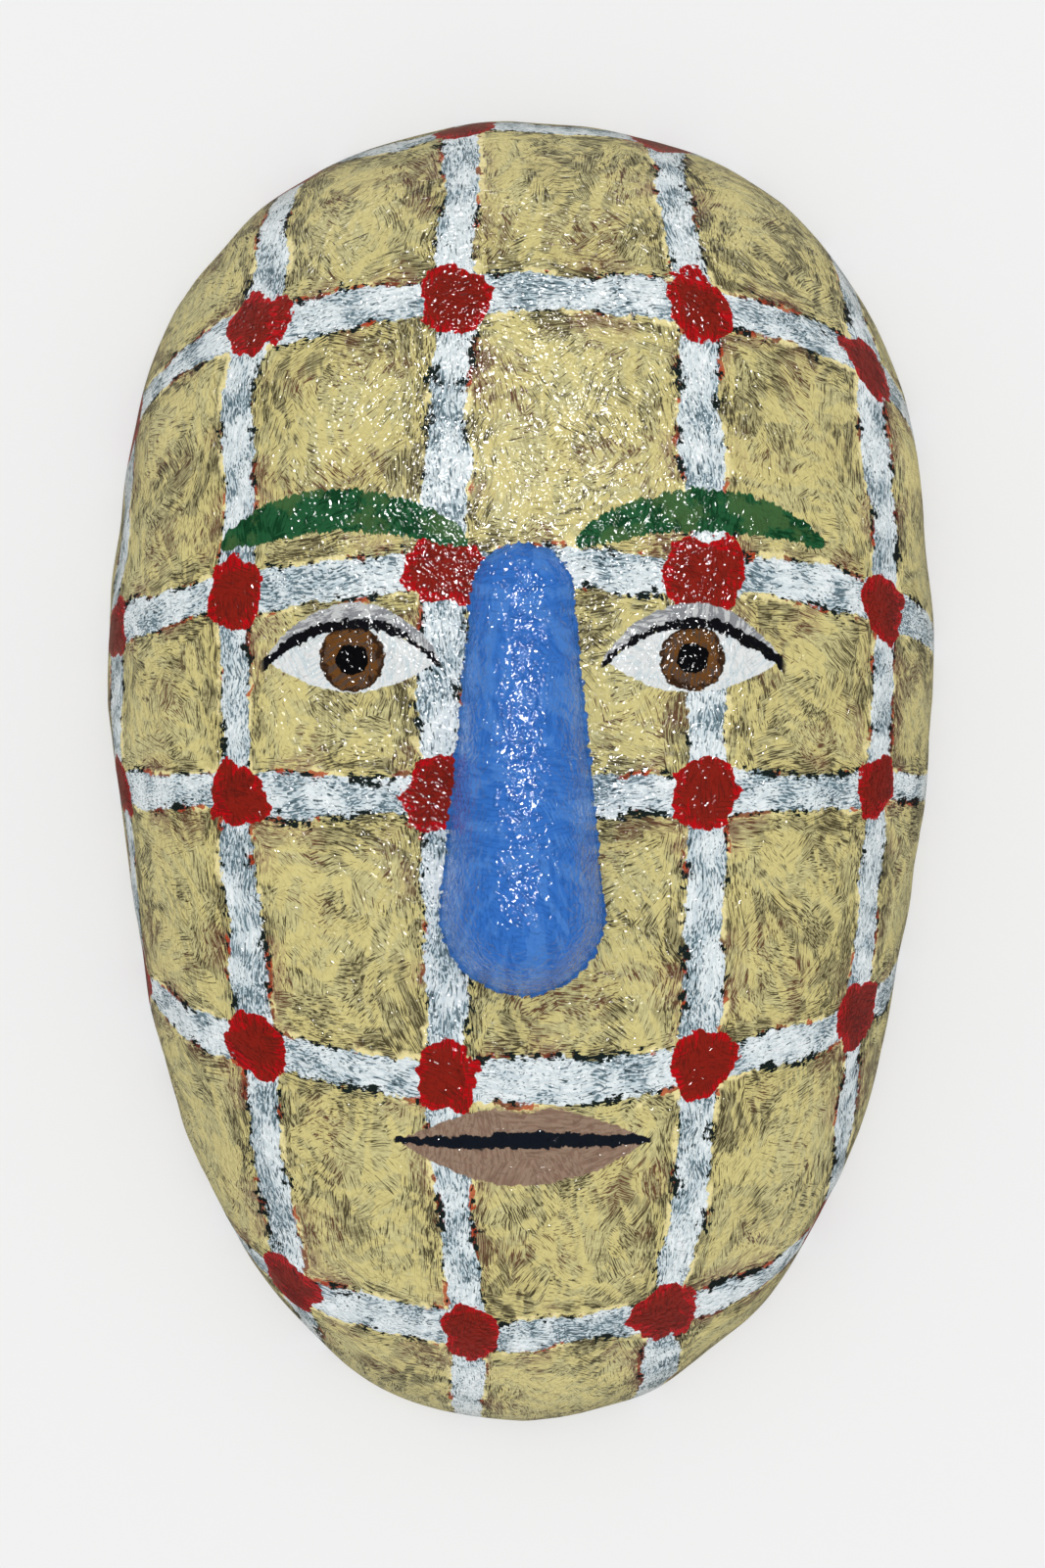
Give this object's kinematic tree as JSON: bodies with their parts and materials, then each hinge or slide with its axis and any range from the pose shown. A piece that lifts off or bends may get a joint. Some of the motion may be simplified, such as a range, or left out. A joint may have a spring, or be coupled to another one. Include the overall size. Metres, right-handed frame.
{
  "type": "mask",
  "caption": "Life-size face mask of pasted paper: a hollow egg-shaped shell with a flat rim and a raised nose, painted with a check of pale bands and red dots.",
  "frame": {"origin": "middle of the rim's plane, which the mask lies on", "axes": "+Z out of the face, +Y towards the forehead, +X to the right of someone who looks at the face"},
  "size_m": [0.1901, 0.3002, 0.1075],
  "materials": {
    "painted_paper": "satin"
  },
  "bodies": {
    "root": {"mask_shell": "painted_paper"}
  },
  "joints": []
}
